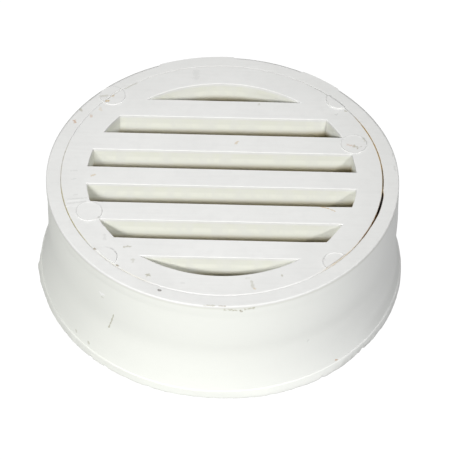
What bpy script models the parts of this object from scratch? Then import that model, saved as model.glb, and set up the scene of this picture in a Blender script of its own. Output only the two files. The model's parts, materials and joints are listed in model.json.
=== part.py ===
"""Round roof vent cover: a skirted housing and a slotted grille insert that lifts out of it.

Metres, +Z up. The origin is the centre of the foot's underside, on the axis of the round body.
The slots run along X, and the grille's face looks up along +Z.

Nodes: housing, grille, insect_screen, retaining_ring. The last three are one insert, parented to
an empty on the axis along which the insert lifts out.
"""

from math import asin, cos, pi, radians, sin

import bmesh
import bpy

# ---------------------------------------------------------------- driving dimensions, in metres
HEIGHT = 0.0385             # foot's underside to the rim's top face
RIM_R = 0.0550              # outer radius of the rim
RIM_BAND_H = 0.0016         # height of the rim's upright band
WAIST_R = 0.0547            # outer radius of the straight part of the skirt under the rim
WAIST_TOP_Z = 0.0330        # level at which the rim has drawn in to the waist
FLARE_TOP_Z = 0.0215        # height at which the skirt starts to widen
FLARE_R = 0.0570            # skirt radius just above the foot bead
FLARE_POWER = 2.2           # how late the widening comes: 1 is a cone, more is hollower
FOOT_R = 0.0576             # outer radius of the foot bead
FOOT_H = 0.0030             # height of the foot bead
RIM_ROUND = 0.0008          # rounding of the rim's outer edge
EDGE_CHAMFER = 0.0003       # small chamfer on the other outer edges

SOCKET_R = 0.0520           # bore that slips over a round duct or vent pipe
SOCKET_MOUTH_R = 0.0549     # the same bore where it has widened at the foot
SEAT_R = 0.05005            # bore that the grille's plate drops into
LEDGE_R = 0.0475            # inner radius of the ledge under the plate
LEDGE_T = 0.0029            # thickness of the ledge; its underside is the duct's end stop
FIT_GAP = 0.0004            # play under the plate and round the spigot
PLATE_GAP = 0.00035         # open seam round the plate

PLATE_T = 0.0030            # thickness of the grille's plate
SLOT_FIELD_R = 0.0419       # circle in which all the slots end
BAR_W = 0.00775             # width of a bar
BAR_PITCH = 0.0152          # centre to centre of the bars
BAR_COUNT = 5
BAR_DEPTH = 0.0090          # depth of the slot walls
SLOT_WALL = 0.0020          # wall left on each side of a slot where a bar is cored out
SPIGOT_T = 0.0018           # wall of the spigot that centres the insert in the ledge
SPIGOT_BOTTOM_Z = 0.0262

LUG_COUNT = 4               # half-round lugs that key the insert against turning
LUG_FIRST_ANGLE = radians(45)
LUG_R = 0.0020
LUG_BOTTOM_Z = 0.0314
NOTCH_R = LUG_R + FIT_GAP   # matching half-round notch in the ledge

RIB_COUNT = 8               # crush ribs that grip the duct
RIB_W = 0.0012
RIB_H = 0.0004
RIB_BOTTOM_Z = 0.0170
RIB_LEAD_IN = 0.0030

SCREEN_T = 0.0005
SCREEN_PITCH = 0.0080       # coarse stand-in for a fine mesh
SCREEN_HOLE = 0.0068
SCREEN_RIM = 0.0022         # solid band round the screen's edge
CLAMP_GAP = 0.0003          # gap kept between pieces that touch
RING_T = 0.0019
RING_W = 0.0027
RING_CHAMFER = 0.0004

STEPS = 72                  # facets round every turned piece
ARC_STEP = 2 * pi / STEPS
OVERSHOOT = 0.001           # how far a cutter runs past the surface it cuts

# ---------------------------------------------------------------- derived levels and radii
PLATE_BOTTOM_Z = HEIGHT - PLATE_T
LEDGE_TOP_Z = PLATE_BOTTOM_Z - FIT_GAP
LEDGE_BOTTOM_Z = LEDGE_TOP_Z - LEDGE_T
PLATE_R = SEAT_R - PLATE_GAP
SPIGOT_R = LEDGE_R - FIT_GAP
SPIGOT_BORE_R = SPIGOT_R - SPIGOT_T
BAR_BOTTOM_Z = HEIGHT - BAR_DEPTH
BAR_BLOCK_R = SLOT_FIELD_R + SLOT_WALL
SCREEN_TOP_Z = BAR_BOTTOM_Z - CLAMP_GAP
CLAMPED_R = SPIGOT_BORE_R - CLAMP_GAP
RING_TOP_Z = SCREEN_TOP_Z - SCREEN_T - CLAMP_GAP


# ---------------------------------------------------------------- scene and helpers
def clear_scene():
    for obj in list(bpy.data.objects):
        bpy.data.objects.remove(obj, do_unlink=True)


def make_collection(name):
    collection = bpy.data.collections.new(name)
    bpy.context.scene.collection.children.link(collection)
    return collection


def make_material(name, color, roughness, metallic=0.0):
    material = bpy.data.materials.new(name)
    material.use_nodes = True
    shader = material.node_tree.nodes["Principled BSDF"]
    shader.inputs["Base Color"].default_value = (*color, 1.0)
    shader.inputs["Roughness"].default_value = roughness
    shader.inputs["Metallic"].default_value = metallic
    return material


def add_object(name, mesh, collection, material=None):
    obj = bpy.data.objects.new(name, mesh)
    collection.objects.link(obj)
    if material is not None:
        mesh.materials.append(material)
    return obj


def arc(center_r, center_z, radius, start, end, steps):
    """Points of an arc in the (radius, height) plane, angles in degrees from +X."""
    points = []
    for i in range(steps + 1):
        angle = radians(start + (end - start) * i / steps)
        points.append((center_r + radius * cos(angle), center_z + radius * sin(angle)))
    return points


def turned(name, profile, collection, material, closed=True):
    """A body of revolution about Z. The profile starts at the top and runs down its outer side."""
    mesh = bpy.data.meshes.new(name)
    count = len(profile)
    edges = [(i, i + 1) for i in range(count - 1)]
    if closed:
        edges.append((count - 1, 0))
    mesh.from_pydata([(r, 0.0, z) for r, z in profile], edges, [])
    obj = add_object(name, mesh, collection, material)
    screw = obj.modifiers.new("turn", "SCREW")
    screw.axis = "Z"
    screw.angle = 2 * pi
    screw.steps = STEPS
    screw.render_steps = STEPS
    screw.use_merge_vertices = True
    screw.merge_threshold = 0.00001
    return obj


def apply_modifiers(obj):
    depsgraph = bpy.context.evaluated_depsgraph_get()
    mesh = bpy.data.meshes.new_from_object(obj.evaluated_get(depsgraph))
    obj.modifiers.clear()
    obj.data = mesh


def smooth(obj):
    obj.data.shade_smooth()
    obj.data.set_sharp_from_angle(angle=radians(30))


def boolean(obj, other, operation):
    modifier = obj.modifiers.new(operation.lower() + "_" + other.name, "BOOLEAN")
    modifier.operation = operation
    modifier.object = other
    modifier.solver = "EXACT"


def make_cutter(name, bm, collection):
    mesh = bpy.data.meshes.new(name)
    bmesh.ops.recalc_face_normals(bm, faces=bm.faces)
    bm.to_mesh(mesh)
    bm.free()
    cutter = add_object(name, mesh, collection)
    cutter.hide_render = True
    cutter.display_type = "WIRE"
    return cutter


def add_prism(bm, outline, bottom_z, top_z):
    """A straight prism on a flat outline of (x, y) points."""
    base = bm.faces.new([bm.verts.new((x, y, bottom_z)) for x, y in outline])
    result = bmesh.ops.extrude_face_region(bm, geom=[base])
    moved = [item for item in result["geom"] if isinstance(item, bmesh.types.BMVert)]
    bmesh.ops.translate(bm, verts=moved, vec=(0.0, 0.0, top_z - bottom_z))


def circle_arc(radius, start, end):
    steps = max(2, round(abs(end - start) / ARC_STEP))
    points = []
    for i in range(steps + 1):
        angle = start + (end - start) * i / steps
        points.append((radius * cos(angle), radius * sin(angle)))
    return points


def strip_in_circle(low_y, high_y, radius):
    """Outline of the strip between two lines along X, ended by a circle about the origin."""
    low = asin(max(-1.0, low_y / radius))
    high = asin(min(1.0, high_y / radius))
    if high_y >= radius:
        return circle_arc(radius, low, pi - low)
    if low_y <= -radius:
        return circle_arc(radius, -pi - high, high)
    return circle_arc(radius, low, high) + circle_arc(radius, pi - high, pi - low)


def bar_centers():
    middle = (BAR_COUNT - 1) / 2
    return [(i - middle) * BAR_PITCH for i in range(BAR_COUNT)]


def lug_positions():
    angles = [LUG_FIRST_ANGLE + 2 * pi * i / LUG_COUNT for i in range(LUG_COUNT)]
    return [(LEDGE_R * cos(angle), LEDGE_R * sin(angle)) for angle in angles]


def add_round_bars(bm, radius, bottom_z, top_z):
    """Upright cylinders at the lugs' places."""
    for x, y in lug_positions():
        result = bmesh.ops.create_cone(
            bm, cap_ends=True, segments=16, radius1=radius, radius2=radius, depth=top_z - bottom_z)
        bmesh.ops.translate(bm, verts=result["verts"], vec=(x, y, (bottom_z + top_z) / 2))


# ---------------------------------------------------------------- housing
def flare(z, straight_r, wide_r, wide_z):
    """Radius of a wall that is straight above FLARE_TOP_Z and widens to wide_r at wide_z."""
    run = min(1.0, max(0.0, (FLARE_TOP_Z - z) / (FLARE_TOP_Z - wide_z)))
    return straight_r + (wide_r - straight_r) * run ** FLARE_POWER


def housing_profile():
    points = [(SEAT_R + EDGE_CHAMFER, HEIGHT)]
    points += arc(RIM_R - RIM_ROUND, HEIGHT - RIM_ROUND, RIM_ROUND, 90, 0, 4)
    points += [(RIM_R, HEIGHT - RIM_BAND_H), (WAIST_R, WAIST_TOP_Z)]
    steps = 6
    for i in range(steps + 1):
        z = FLARE_TOP_Z + (FOOT_H - FLARE_TOP_Z) * i / steps
        points.append((flare(z, WAIST_R, FLARE_R, FOOT_H), z))
    bead = FOOT_R - FLARE_R
    points += arc(FLARE_R, FOOT_H - bead, bead, 60, 0, 2)
    points += [(FOOT_R, EDGE_CHAMFER), (FOOT_R - EDGE_CHAMFER, 0.0)]
    for i in range(steps + 1):
        z = FLARE_TOP_Z * i / steps
        points.append((flare(z, SOCKET_R, SOCKET_MOUTH_R, 0.0), z))
    points += [(SOCKET_R, LEDGE_BOTTOM_Z), (LEDGE_R, LEDGE_BOTTOM_Z), (LEDGE_R, LEDGE_TOP_Z)]
    points += [(SEAT_R, LEDGE_TOP_Z), (SEAT_R, HEIGHT - EDGE_CHAMFER)]
    return points


def make_ribs(collection):
    """Crush ribs inside the socket, each with a sloping lead-in at its lower end."""
    bm = bmesh.new()
    root_r = SOCKET_R + OVERSHOOT
    top_z = LEDGE_BOTTOM_Z + OVERSHOOT
    for i in range(RIB_COUNT):
        angle = 2 * pi * (i + 0.5) / RIB_COUNT
        verts = bmesh.ops.create_cube(bm, size=1.0)["verts"]
        for vert in verts:
            inner = vert.co.x < 0
            low = vert.co.z < 0
            r = SOCKET_R - RIB_H if inner else root_r
            y = vert.co.y * RIB_W
            z = RIB_BOTTOM_Z if low else top_z
            if inner and low:
                z += RIB_LEAD_IN
            vert.co = (r * cos(angle) - y * sin(angle), r * sin(angle) + y * cos(angle), z)
    return make_cutter("rib_stock", bm, collection)


def make_housing(parts, cutters):
    material = make_material("white_pvc_housing", (0.80, 0.80, 0.78), 0.38)
    housing = turned("housing", housing_profile(), parts, material)
    notches = bmesh.new()
    add_round_bars(notches, NOTCH_R, LEDGE_BOTTOM_Z - OVERSHOOT, LEDGE_TOP_Z + OVERSHOOT)
    boolean(housing, make_cutter("notch_cutter", notches, cutters), "DIFFERENCE")
    boolean(housing, make_ribs(cutters), "UNION")
    apply_modifiers(housing)
    smooth(housing)


# ---------------------------------------------------------------- grille
def grille_profile():
    return [
        (0.0, HEIGHT),
        (PLATE_R - EDGE_CHAMFER, HEIGHT),
        (PLATE_R, HEIGHT - EDGE_CHAMFER),
        (PLATE_R, PLATE_BOTTOM_Z),
        (SPIGOT_R, PLATE_BOTTOM_Z),
        (SPIGOT_R, SPIGOT_BOTTOM_Z + EDGE_CHAMFER),
        (SPIGOT_R - EDGE_CHAMFER, SPIGOT_BOTTOM_Z),
        (SPIGOT_BORE_R, SPIGOT_BOTTOM_Z),
        (SPIGOT_BORE_R, PLATE_BOTTOM_Z),
        (BAR_BLOCK_R, PLATE_BOTTOM_Z),
        (BAR_BLOCK_R, BAR_BOTTOM_Z),
        (0.0, BAR_BOTTOM_Z),
    ]


def make_slot_cutter(collection):
    """Four full slots between the bars, and a slot shaped like a cap beyond each end bar."""
    bm = bmesh.new()
    edges = [-SLOT_FIELD_R]
    for center in bar_centers():
        edges += [center - BAR_W / 2, center + BAR_W / 2]
    edges.append(SLOT_FIELD_R)
    for low_y, high_y in zip(edges[0::2], edges[1::2]):
        outline = strip_in_circle(low_y, high_y, SLOT_FIELD_R)
        add_prism(bm, outline, BAR_BOTTOM_Z - OVERSHOOT, HEIGHT + OVERSHOOT)
    return make_cutter("slot_cutter", bm, collection)


def make_core_cutter(collection):
    """A channel up into the underside of each bar, which leaves a wall beside each slot."""
    bm = bmesh.new()
    half = BAR_W / 2 - SLOT_WALL
    for center in bar_centers():
        outline = strip_in_circle(center - half, center + half, SLOT_FIELD_R)
        add_prism(bm, outline, BAR_BOTTOM_Z - OVERSHOOT, PLATE_BOTTOM_Z)
    return make_cutter("core_cutter", bm, collection)


def make_lugs(collection):
    bm = bmesh.new()
    add_round_bars(bm, LUG_R, LUG_BOTTOM_Z, PLATE_BOTTOM_Z + PLATE_T / 2)
    return make_cutter("lug_stock", bm, collection)


def make_grille(parts, cutters, lift_axis):
    material = make_material("white_pvc_grille", (0.79, 0.79, 0.78), 0.42)
    grille = turned("grille", grille_profile(), parts, material, closed=False)
    boolean(grille, make_lugs(cutters), "UNION")
    boolean(grille, make_slot_cutter(cutters), "DIFFERENCE")
    boolean(grille, make_core_cutter(cutters), "DIFFERENCE")
    apply_modifiers(grille)
    smooth(grille)
    grille.parent = lift_axis


# ---------------------------------------------------------------- insect screen and its ring
def make_screen(parts, cutters, lift_axis):
    """A flat disc with a square grid of holes and a solid band round its edge."""
    profile = [
        (0.0, SCREEN_TOP_Z),
        (CLAMPED_R, SCREEN_TOP_Z),
        (CLAMPED_R, SCREEN_TOP_Z - SCREEN_T),
        (0.0, SCREEN_TOP_Z - SCREEN_T),
    ]
    material = make_material("woven_steel_wire", (0.50, 0.50, 0.49), 0.35, 1.0)
    screen = turned("insect_screen", profile, parts, material, closed=False)

    bm = bmesh.new()
    reach = int(CLAMPED_R / SCREEN_PITCH)
    middle_z = SCREEN_TOP_Z - SCREEN_T / 2
    for i in range(-reach, reach + 1):
        for j in range(-reach, reach + 1):
            x = i * SCREEN_PITCH
            y = j * SCREEN_PITCH
            corner_x = abs(x) + SCREEN_HOLE / 2
            corner_y = abs(y) + SCREEN_HOLE / 2
            if corner_x ** 2 + corner_y ** 2 > (CLAMPED_R - SCREEN_RIM) ** 2:
                continue
            verts = bmesh.ops.create_cube(bm, size=1.0)["verts"]
            bmesh.ops.scale(bm, verts=verts, vec=(SCREEN_HOLE, SCREEN_HOLE, 3 * SCREEN_T))
            bmesh.ops.translate(bm, verts=verts, vec=(x, y, middle_z))
    boolean(screen, make_cutter("mesh_cutter", bm, cutters), "DIFFERENCE")
    apply_modifiers(screen)
    smooth(screen)
    screen.parent = lift_axis


def make_retaining_ring(parts, lift_axis):
    """The push-in ring that holds the screen up against the bars."""
    bottom_z = RING_TOP_Z - RING_T
    bore_r = CLAMPED_R - RING_W
    profile = [
        (CLAMPED_R, RING_TOP_Z),
        (CLAMPED_R, bottom_z + RING_CHAMFER),
        (CLAMPED_R - RING_CHAMFER, bottom_z),
        (bore_r + RING_CHAMFER, bottom_z),
        (bore_r, bottom_z + RING_CHAMFER),
        (bore_r, RING_TOP_Z),
    ]
    material = make_material("white_pvc_ring", (0.78, 0.78, 0.76), 0.45)
    ring = turned("retaining_ring", profile, parts, material)
    apply_modifiers(ring)
    smooth(ring)
    ring.parent = lift_axis


def main():
    clear_scene()
    parts = make_collection("roof_vent_cover")
    cutters = make_collection("cutters")
    lift_axis = bpy.data.objects.new("insert_lift_axis", None)
    parts.objects.link(lift_axis)
    make_housing(parts, cutters)
    make_grille(parts, cutters, lift_axis)
    make_screen(parts, cutters, lift_axis)
    make_retaining_ring(parts, lift_axis)


main()
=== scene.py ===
"""Looks of the round roof vent cover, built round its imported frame.

Metres, +Z up, front towards -Y. The slots run along X. The housing, the grille, the woven screen
and its retaining ring are each rebuilt as a finer mesh in the place of their CAD node.
"""

import json
from math import acos, asin, atan2, cos, hypot, pi, prod, radians, sin

import bmesh
import bpy
from mathutils import Matrix, Vector, noise


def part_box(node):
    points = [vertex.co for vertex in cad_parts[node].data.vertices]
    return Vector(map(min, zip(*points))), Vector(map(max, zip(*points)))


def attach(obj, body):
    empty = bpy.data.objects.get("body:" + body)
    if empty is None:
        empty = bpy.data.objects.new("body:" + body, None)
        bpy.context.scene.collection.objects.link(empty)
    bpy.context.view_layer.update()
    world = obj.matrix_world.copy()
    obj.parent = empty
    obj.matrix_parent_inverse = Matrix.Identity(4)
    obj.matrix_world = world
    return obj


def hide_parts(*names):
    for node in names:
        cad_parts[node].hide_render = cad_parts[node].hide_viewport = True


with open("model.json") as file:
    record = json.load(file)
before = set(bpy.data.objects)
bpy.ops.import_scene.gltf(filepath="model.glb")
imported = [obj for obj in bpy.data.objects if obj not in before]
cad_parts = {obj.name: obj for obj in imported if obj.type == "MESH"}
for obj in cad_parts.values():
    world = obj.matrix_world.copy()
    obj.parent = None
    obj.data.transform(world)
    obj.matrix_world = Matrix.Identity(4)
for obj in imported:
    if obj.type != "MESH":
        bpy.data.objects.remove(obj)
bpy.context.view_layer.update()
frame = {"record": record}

MM = 0.001

# ---------------------------------------------------------------- sizes read from the frame
housing_low, housing_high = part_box("housing")
grille_low, grille_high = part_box("grille")
screen_low, screen_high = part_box("insect_screen")
ring_low, ring_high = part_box("retaining_ring")
mount_at = {mount["name"]: Vector(mount["pos_m"]) for mount in frame["record"]["mounts"]}

HEIGHT = housing_high.z
FOOT_R = housing_high.x
PLATE_R = grille_high.x
SPIGOT_BOTTOM_Z = grille_low.z
CLAMPED_R = screen_high.x
LEDGE_BOTTOM_Z = mount_at["duct_end_stop"].z

# ---------------------------------------------------------------- sizes that repeat the CAD's
RIM_R = 55.0 * MM
WAIST_R = 54.7 * MM
WAIST_TOP_Z = 33.0 * MM
RIM_BAND_H = 1.6 * MM
RIM_BAND_STEP = 0.05 * MM
RIM_BAND_FOOT = 2.2 * MM
FLARE_TOP_Z = 21.5 * MM
FLARE_R = 57.0 * MM
FLARE_POWER = 2.2
FOOT_H = 3.0 * MM
SOCKET_R = 52.0 * MM
SOCKET_MOUTH_R = 54.9 * MM
FLARE_END_Z = FOOT_H + 0.3 * MM
SEAT_R = 50.05 * MM
LEDGE_R = 47.5 * MM
LEDGE_TOP_Z = LEDGE_BOTTOM_Z + 2.9 * MM
PLATE_BOTTOM_Z = HEIGHT - 3.0 * MM
PLATE_STEP = 0.2 * MM
SPIGOT_R = 47.1 * MM
SPIGOT_BORE_R = 45.3 * MM
BAR_BOTTOM_Z = HEIGHT - 9.0 * MM
BAR_BLOCK_R = 43.9 * MM
SLOT_FIELD_R = 41.9 * MM
SPIGOT_CORNER = 0.4 * MM
SPIGOT_BORE_CORNER = 0.3 * MM
BAR_W = 7.75 * MM
BAR_PITCH = 15.2 * MM
BAR_COUNT = 5
SLOT_WALL = 2.0 * MM
LUG_R = 2.0 * MM
LUG_BOTTOM_Z = 31.4 * MM
NOTCH_R = 2.4 * MM
CORNER_ANGLES = [radians(45 + 90 * i) for i in range(4)]
RIB_COUNT = 8
RIB_W = 1.2 * MM
RIB_H = 0.4 * MM
RIB_BOTTOM_Z = 17.0 * MM
RIB_LEAD_IN = 3.0 * MM
OVERSHOOT = 1.0 * MM

# ---------------------------------------------------------------- fine shape
TURN_STEPS = 288            # facets round the turned pieces
BAND_STEPS = 8              # up the housing's wall, between the rim's band and the waist
FLARE_STEPS = 26            # up the flare
SOCKET_STEPS = 14           # up the socket's mouth
BAR_STEPS = 32              # round the lugs and their notches
MARK_STEPS = 48             # round a mark
MARK_CUT_STEPS = 16         # along the side where the seam cuts it off
RIM_RINGS = [r * MM for r in (51.2, 52.4, 53.5)]    # extra points of the housing's section
WAIST_RINGS = [29.0 * MM, 25.0 * MM]
SOCKET_RING_Z = 27.0 * MM
RIM_ROUND = 0.4 * MM        # rounding of the rim's outer edge at the front
BACK_ROUND = 3.6            # how many times larger it is at the back
SLOT_ROUND = 0.25 * MM      # rounding of the slots' upper edges
EDGE_ROUND = 0.5 * MM       # rounding of the plate's edge, where it is largest
EDGE_LEAST = 0.22           # the share of it that the back has
SEAT_ROUND = 0.12 * MM      # rounding of the rim's inner edge
FOOT_SLOPE = 0.25 * MM      # how far the foot bead draws in towards its top
FOOT_EDGE = 0.3 * MM        # rounding of the foot's lower edge
FLASH_TOP_Z = 4.0 * MM      # the flash on the foot is looked for below this height
FLASH_FULL_Z = 0.8 * MM     # has its full width below this one
NICK_TOP_Z = 1.2 * MM       # and has its nicks below this one
NICK_H = 0.8 * MM
FLASH_COARSE = 0.14         # the flash's width in millimetres: a long wave,
FLASH_FINE = 0.16           # short bumps,
FLASH_LIP = 0.45            # and a lip
FOOT_LIP = (-64, 9, 24)     # where the lip is: a direction, inner and outer half width
SEAM_R = 49.97 * MM         # the seam between plate and rim
SEAM_BOW = 0.20 * MM        # how far the seam bows out at the front
PLATE_SHIFT = Vector((-0.05 * MM, -0.02 * MM, 0.0))     # the grille sits a little off centre
SLOT_WEAR = 0.25 * MM       # how much further forward the slots' front walls are than the CAD's
SLOT_SKEW = 0.0018          # how much of it is added for each metre to the right
SLOT_TAPER = 0.0036         # and for each metre to the front
SEAT_GAPE = 0.42 * MM       # extra width of the seam where it stands open
# It stands open where these two overlap: a direction, inner and outer half width in degrees.
GAPE_SIDES = [(28, 41.5, 54), (-47.5, 40, 43)]
WALL_WAVE = 0.05 * MM       # unevenness of the outer wall
OUTER_HALF = 1.0 * MM       # farther than this from the socket's wall, a point is outside
SEAT_BAND = 0.5 * MM        # the seat's wall is found within this of its radius
TRIM_FROM_R = 53.0 * MM     # the trim of WALL_FAULTS starts here on the rim
TRIM_FULL_R = 54.5 * MM     # and is full here
NEARLY = 0.01 * MM          # margin for finding points by their place
SLOT_MARGIN = 0.05 * MM     # the same, for the slots' edges
# Millimetres, from the floor up: a height, and how far the outer wall is out of true there
# along x and along y, and under its full radius.
WALL_FAULTS = [
    (0.0, (0.14, -0.40, 0.45)), (8.0, (0.12, -0.20, 0.42)), (16.0, (0.42, 0.0, 0.30)),
    (24.0, (0.55, 0.0, 0.00)), (33.0, (0.42, 0.0, 0.08)), (37.0, (0.20, 0.0, 0.26))]
MARK_R = 3.95 * MM          # round ejector pin marks on the face
MARK_H = 0.28 * MM
MARK_SLOPE = 0.12 * MM
MARK_ROOT = 0.3 * MM        # how deep they are rooted in the plastic
MARK_LIFT = 0.002 * MM      # keeps their foot off the face's own plane
FULL_MARKS = [(41.0 * MM, 15.8 * MM), (-40.5 * MM, -16.1 * MM)]
# The marks cut by the seam: centre, height, the middle's share of it, and the gap to the seam.
SEAM_MARKS = [
    ((36.5 * MM, 35.6 * MM), 0.42 * MM, 1.0, 0.16 * MM),
    ((-35.2 * MM, 35.2 * MM), 0.24 * MM, 0.8, 0.30 * MM),
    ((-35.3 * MM, -35.3 * MM), 0.36 * MM, 1.0, 0.50 * MM),
    ((35.3 * MM, -35.3 * MM), 0.32 * MM, 0.5, 0.20 * MM),
]
RIM_MARK = SEAM_MARKS[1]    # the only one that goes on across the seam
# Chips that stand out of the foot's edge, and nicks in it: angle, half width, size.
FOOT_CHIPS = [
    (-174.0, 10.0, 0.35), (-176.5, 2.4, 0.35), (-143.0, 1.2, 0.20), (60.0, 1.6, 0.30)]
FOOT_NICKS = [
    (-38.5, 0.8, 0.9), (-56.2, 0.7, 0.8), (-127.5, 0.6, 0.7), (-134.0, 0.7, 0.6),
    (96.0, 0.9, 0.6)]
WIRE_R = 0.11 * MM          # woven screen
WIRE_PITCH = 1.8 * MM
WIRE_SIDES = 5
WIRE_STEPS = 4              # steps of a wire for each pitch
WIRE_END_GAP = 0.6 * MM
RING_W = 2.7 * MM           # retaining ring, and its corners
RING_CORNER = 0.4 * MM
RING_TOP_CORNER = 0.2 * MM


# ---------------------------------------------------------------- mesh helpers
def object_from_bmesh(name, bm, material=None, turn_out=True):
    """Makes an object of a bmesh. turn_out makes its faces point outwards first."""
    if turn_out:
        bmesh.ops.recalc_face_normals(bm, faces=bm.faces)
    mesh = bpy.data.meshes.new(name)
    bm.to_mesh(mesh)
    bm.free()
    obj = bpy.data.objects.new(name, mesh)
    bpy.context.scene.collection.objects.link(obj)
    if material is not None:
        mesh.materials.append(material)
    return obj


def helper(bm, turn_out=True):
    """An object for cut_or_join, which removes it again."""
    return object_from_bmesh("helper", bm, turn_out=turn_out)


def apply_modifiers(obj):
    """Puts the result of an object's modifiers in place of its mesh."""
    depsgraph = bpy.context.evaluated_depsgraph_get()
    mesh = bpy.data.meshes.new_from_object(obj.evaluated_get(depsgraph))
    obj.modifiers.clear()
    obj.data = mesh


def cut_or_join(obj, other, operation):
    """Applies a Boolean with a helper object, and removes the helper."""
    modifier = obj.modifiers.new(operation.lower(), "BOOLEAN")
    modifier.operation = operation
    modifier.object = other
    modifier.solver = "EXACT"
    apply_modifiers(obj)
    bpy.data.objects.remove(other, do_unlink=True)


def smooth(obj, angle=30):
    """Shades rounded edges smooth and keeps the flat faces flat."""
    obj.data.shade_smooth()
    obj.data.set_sharp_from_angle(angle=radians(angle))
    modifier = obj.modifiers.new("flat_faces", "WEIGHTED_NORMAL")
    modifier.keep_sharp = True
    modifier.weight = 100
    apply_modifiers(obj)


def arc(center_r, center_z, radius, start, end, steps):
    """Points of an arc in the (radius, height) plane, angles in degrees from +X."""
    points = []
    for i in range(steps + 1):
        angle = radians(start + (end - start) * i / steps)
        points.append((center_r + radius * cos(angle), center_z + radius * sin(angle)))
    return points


def lathe(bm, profile, steps, place=None, ring_closed=True):
    """Turns a profile of (radius, height) points about Z.

    place(r, z, angle) may move each point. A closed profile gives a ring, and an open one gets a
    flat cap of one face at its first and at its last point.
    """
    rings = []
    for i in range(steps):
        angle = 2 * pi * i / steps
        ring = []
        for r, z in profile:
            point = place(r, z, angle) if place else (r * cos(angle), r * sin(angle), z)
            ring.append(bm.verts.new(point))
        rings.append(ring)
    count = len(profile)
    spans = range(count) if ring_closed else range(count - 1)
    for i in range(steps):
        here = rings[i]
        after = rings[(i + 1) % steps]
        for j in spans:
            k = (j + 1) % count
            bm.faces.new((here[j], here[k], after[k], after[j]))
    if not ring_closed:
        bm.faces.new([ring[0] for ring in rings])
        bm.faces.new([ring[-1] for ring in rings])


def add_prism(bm, outline, bottom_z, top_z):
    """An upright prism on an outline of (x, y) points."""
    base = bm.faces.new([bm.verts.new((x, y, bottom_z)) for x, y in outline])
    result = bmesh.ops.extrude_face_region(bm, geom=[base])
    moved = [item for item in result["geom"] if isinstance(item, bmesh.types.BMVert)]
    bmesh.ops.translate(bm, verts=moved, vec=(0.0, 0.0, top_z - bottom_z))


def circle_arc(radius, start, end):
    """Points of an arc about the origin, angles in radians."""
    steps = max(4, round(abs(end - start) / (2 * pi) * TURN_STEPS))
    points = []
    for i in range(steps + 1):
        angle = start + (end - start) * i / steps
        points.append((radius * cos(angle), radius * sin(angle)))
    return points


def strip_in_circle(low_y, high_y, radius):
    """Outline of the strip between two lines along X, ended by a circle about the origin."""
    low = asin(max(-1.0, low_y / radius))
    high = asin(min(1.0, high_y / radius))
    if high_y >= radius:
        return circle_arc(radius, low, pi - low)
    if low_y <= -radius:
        return circle_arc(radius, -pi - high, high)
    return circle_arc(radius, low, high) + circle_arc(radius, pi - high, pi - low)


def bar_centers():
    middle = (BAR_COUNT - 1) / 2
    return [(i - middle) * BAR_PITCH for i in range(BAR_COUNT)]


def corner_places(radius):
    return [(radius * cos(angle), radius * sin(angle)) for angle in CORNER_ANGLES]


def ease(value, low, high):
    """0 below low, 1 above high, and a smooth step between them."""
    t = min(1.0, max(0.0, (value - low) / (high - low)))
    return t * t * (3 - 2 * t)


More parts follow.
